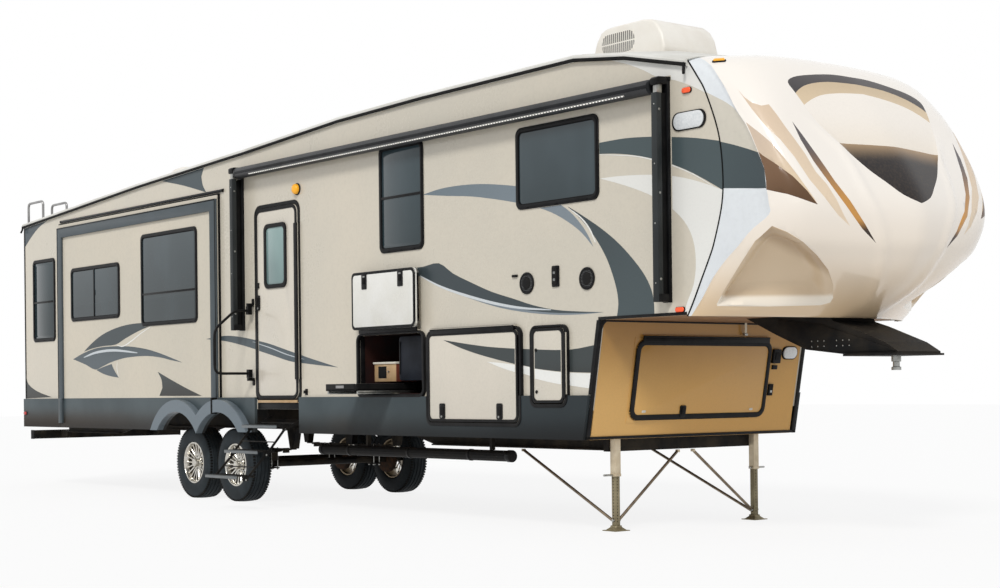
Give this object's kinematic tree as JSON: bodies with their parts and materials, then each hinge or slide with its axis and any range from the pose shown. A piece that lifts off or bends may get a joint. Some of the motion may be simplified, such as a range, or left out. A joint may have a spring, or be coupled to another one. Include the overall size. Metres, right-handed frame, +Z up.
{
  "type": "fifth wheel trailer",
  "caption": "Long travel trailer with a raised front that couples over a truck bed, slide-out rooms, folding steps and landing legs.",
  "frame": {"origin": "centre of the kingpin's flat lower end", "axes": "+X forward along the trailer, +Y to its left side, +Z up"},
  "size_m": [13.36, 3.215, 4.2313],
  "materials": {
    "wall_beige": "smooth gel coat",
    "cap_white": "gloss moulding",
    "roof_white": "membrane",
    "skirt_dark": "satin moulding",
    "trim_black": "satin black",
    "front_tan": "gel coat",
    "frame_black": "satin black",
    "glass_tint": "tinted",
    "steel_silver": "zinc plated",
    "handle_black": "satin black",
    "bare_aluminium": "brushed",
    "alloy": "polished",
    "tyre_rubber": "matt",
    "wood": "sealed",
    "door_white": "gel coat",
    "awning_grey": "rolled cloth"
  },
  "bodies": {
    "trailer": {"sidewall_right": "wall_beige", "sidewall_left": "wall_beige", "rear_wall": "wall_beige", "roof": "roof_white", "front_cap": "cap_white", "floor_deck": "wood", "basement_floor": "wood", "upper_deck": "wood", "front_lower_wall": "front_tan", "skirt_right_rear": "skirt_dark", "skirt_right_middle": "skirt_dark", "skirt_right_front": "skirt_dark", "skirt_left": "skirt_dark", "window_right_rear": "glass_tint", "window_kitchen": "glass_tint", "window_bedroom_right": "glass_tint", "window_bedroom_left": "glass_tint", "window_rear": "glass_tint", "galley_compartment": "wood", "landing_leg_right": "steel_silver", "landing_leg_left": "steel_silver", "pin_box": "frame_black", "kingpin": "steel_silver", "chassis_frame": "frame_black", "rear_bumper": "frame_black", "axle_front": "frame_black", "axle_rear": "frame_black", "awning_roller": "awning_grey", "awning_frame": "trim_black", "air_conditioner": "roof_white", "ladder": "bare_aluminium", "hose_tube": "trim_black"},
    "slide_room_right": {"slide_room_right": "wall_beige", "slide_window_rear": "glass_tint", "slide_window_front": "glass_tint"},
    "slide_room_left": {"slide_room_left": "wall_beige", "slide_window_left": "glass_tint"},
    "entry_door": {"entry_door": "door_white", "entry_door_window": "glass_tint"},
    "galley_door": {"galley_door": "door_white"},
    "cargo_tray": {"cargo_tray": "steel_silver"},
    "cargo_door_large": {"cargo_door_large": "door_white"},
    "cargo_door_small": {"cargo_door_small": "door_white"},
    "cargo_door_left": {"cargo_door_left": "door_white"},
    "storage_door_front": {"storage_door_front": "front_tan"},
    "grab_handle": {"grab_handle": "handle_black"},
    "step_arm_upper": {"step_arm_upper": "frame_black"},
    "step_tread_upper": {"step_tread_upper": "frame_black"},
    "step_arm_middle": {"step_arm_middle": "frame_black"},
    "step_tread_middle": {"step_tread_middle": "frame_black"},
    "step_arm_lower": {"step_arm_lower": "frame_black"},
    "step_tread_lower": {"step_tread_lower": "frame_black"},
    "wheel_front_right": {"tyre_front_right": "tyre_rubber", "rim_front_right": "alloy"},
    "wheel_front_left": {"tyre_front_left": "tyre_rubber", "rim_front_left": "alloy"},
    "wheel_rear_right": {"tyre_rear_right": "tyre_rubber", "rim_rear_right": "alloy"},
    "wheel_rear_left": {"tyre_rear_left": "tyre_rubber", "rim_rear_left": "alloy"}
  },
  "joints": [
    {"name": "wheel_front_right_spin", "type": "hinge", "parent": "trailer", "child": "wheel_front_right", "pos_m": [-7.758, -1.005, -0.875], "axis": [0, 1, 0], "continuous": true},
    {"name": "wheel_front_left_spin", "type": "hinge", "parent": "trailer", "child": "wheel_front_left", "pos_m": [-7.758, 1.005, -0.875], "axis": [0, 1, 0], "continuous": true},
    {"name": "wheel_rear_right_spin", "type": "hinge", "parent": "trailer", "child": "wheel_rear_right", "pos_m": [-8.662, -1.005, -0.875], "axis": [0, 1, 0], "continuous": true},
    {"name": "wheel_rear_left_spin", "type": "hinge", "parent": "trailer", "child": "wheel_rear_left", "pos_m": [-8.662, 1.005, -0.875], "axis": [0, 1, 0], "continuous": true},
    {"name": "slide_right_travel", "type": "slide", "parent": "trailer", "child": "slide_room_right", "axis": [0, -1, 0], "range_m": [0, 0.85]},
    {"name": "slide_left_travel", "type": "slide", "parent": "trailer", "child": "slide_room_left", "axis": [0, 1, 0], "range_m": [0, 0.85]},
    {"name": "entry_door_hinge", "type": "hinge", "parent": "trailer", "child": "entry_door", "pos_m": [-6.285, -1.252, -0.19], "axis": [0, 0, 1], "range_deg": [0, 170]},
    {"name": "galley_door_hinge", "type": "hinge", "parent": "trailer", "child": "galley_door", "pos_m": [-4.73, -1.262, 0.423], "axis": [1, 0, 0], "range_deg": [0, 180]},
    {"name": "tray_travel", "type": "slide", "parent": "trailer", "child": "cargo_tray", "axis": [0, -1, 0], "range_m": [-0.5, 0]},
    {"name": "cargo_large_hinge", "type": "hinge", "parent": "trailer", "child": "cargo_door_large", "pos_m": [-3.505, -1.262, 0.415], "axis": [-1, 0, 0], "range_deg": [0, 170]},
    {"name": "cargo_small_hinge", "type": "hinge", "parent": "trailer", "child": "cargo_door_small", "pos_m": [-2.283, -1.262, 0.075], "axis": [0, 0, 1], "range_deg": [0, 170]},
    {"name": "cargo_left_hinge", "type": "hinge", "parent": "trailer", "child": "cargo_door_left", "pos_m": [-3.505, 1.262, 0.415], "axis": [1, 0, 0], "range_deg": [0, 170]},
    {"name": "storage_front_hinge", "type": "hinge", "parent": "trailer", "child": "storage_door_front", "pos_m": [-1.91041, 0, 0.3], "axis": [0, -1, 0], "range_deg": [0, 100]},
    {"name": "grab_handle_swing", "type": "hinge", "parent": "trailer", "child": "grab_handle", "pos_m": [-7.175, -1.272, 0.4], "axis": [0, 0, 1], "range_deg": [0, 90]},
    {"name": "step_upper_fold", "type": "hinge", "parent": "trailer", "child": "step_arm_upper", "pos_m": [-6.705, -1.1, -0.365], "axis": [1, 0, 0], "range_deg": [0, 147.3]},
    {"name": "tread_upper_level", "type": "hinge", "parent": "step_arm_upper", "child": "step_tread_upper", "pos_m": [-6.705, -1.35, -0.48], "axis": [1, 0, 0], "range_deg": [-147.59, 0]},
    {"name": "step_middle_fold", "type": "hinge", "parent": "step_tread_upper", "child": "step_arm_middle", "pos_m": [-6.705, -1.35, -0.48], "axis": [1, 0, 0], "range_deg": [-42.48, 0]},
    {"name": "tread_middle_level", "type": "hinge", "parent": "step_arm_middle", "child": "step_tread_middle", "pos_m": [-6.705, -1.56, -0.725], "axis": [1, 0, 0], "range_deg": [0, 42.48]},
    {"name": "step_lower_fold", "type": "hinge", "parent": "step_tread_middle", "child": "step_arm_lower", "pos_m": [-6.705, -1.56, -0.725], "axis": [1, 0, 0], "range_deg": [0, 127.01]},
    {"name": "tread_lower_level", "type": "hinge", "parent": "step_arm_lower", "child": "step_tread_lower", "pos_m": [-6.705, -1.785, -0.96], "axis": [1, 0, 0], "range_deg": [-127.01, 0]}
  ],
  "couplings": [
    {"joint": "tread_upper_level", "follows": "step_upper_fold", "ratio": -1},
    {"joint": "step_middle_fold", "follows": "step_upper_fold", "ratio": -0.28784},
    {"joint": "tread_middle_level", "follows": "step_upper_fold", "ratio": 0.28784},
    {"joint": "step_lower_fold", "follows": "step_upper_fold", "ratio": 0.86053},
    {"joint": "tread_lower_level", "follows": "step_upper_fold", "ratio": -0.86053},
    {"joint": "tray_travel", "follows": "galley_door_hinge", "m_per_rad": -0.15915}
  ]
}
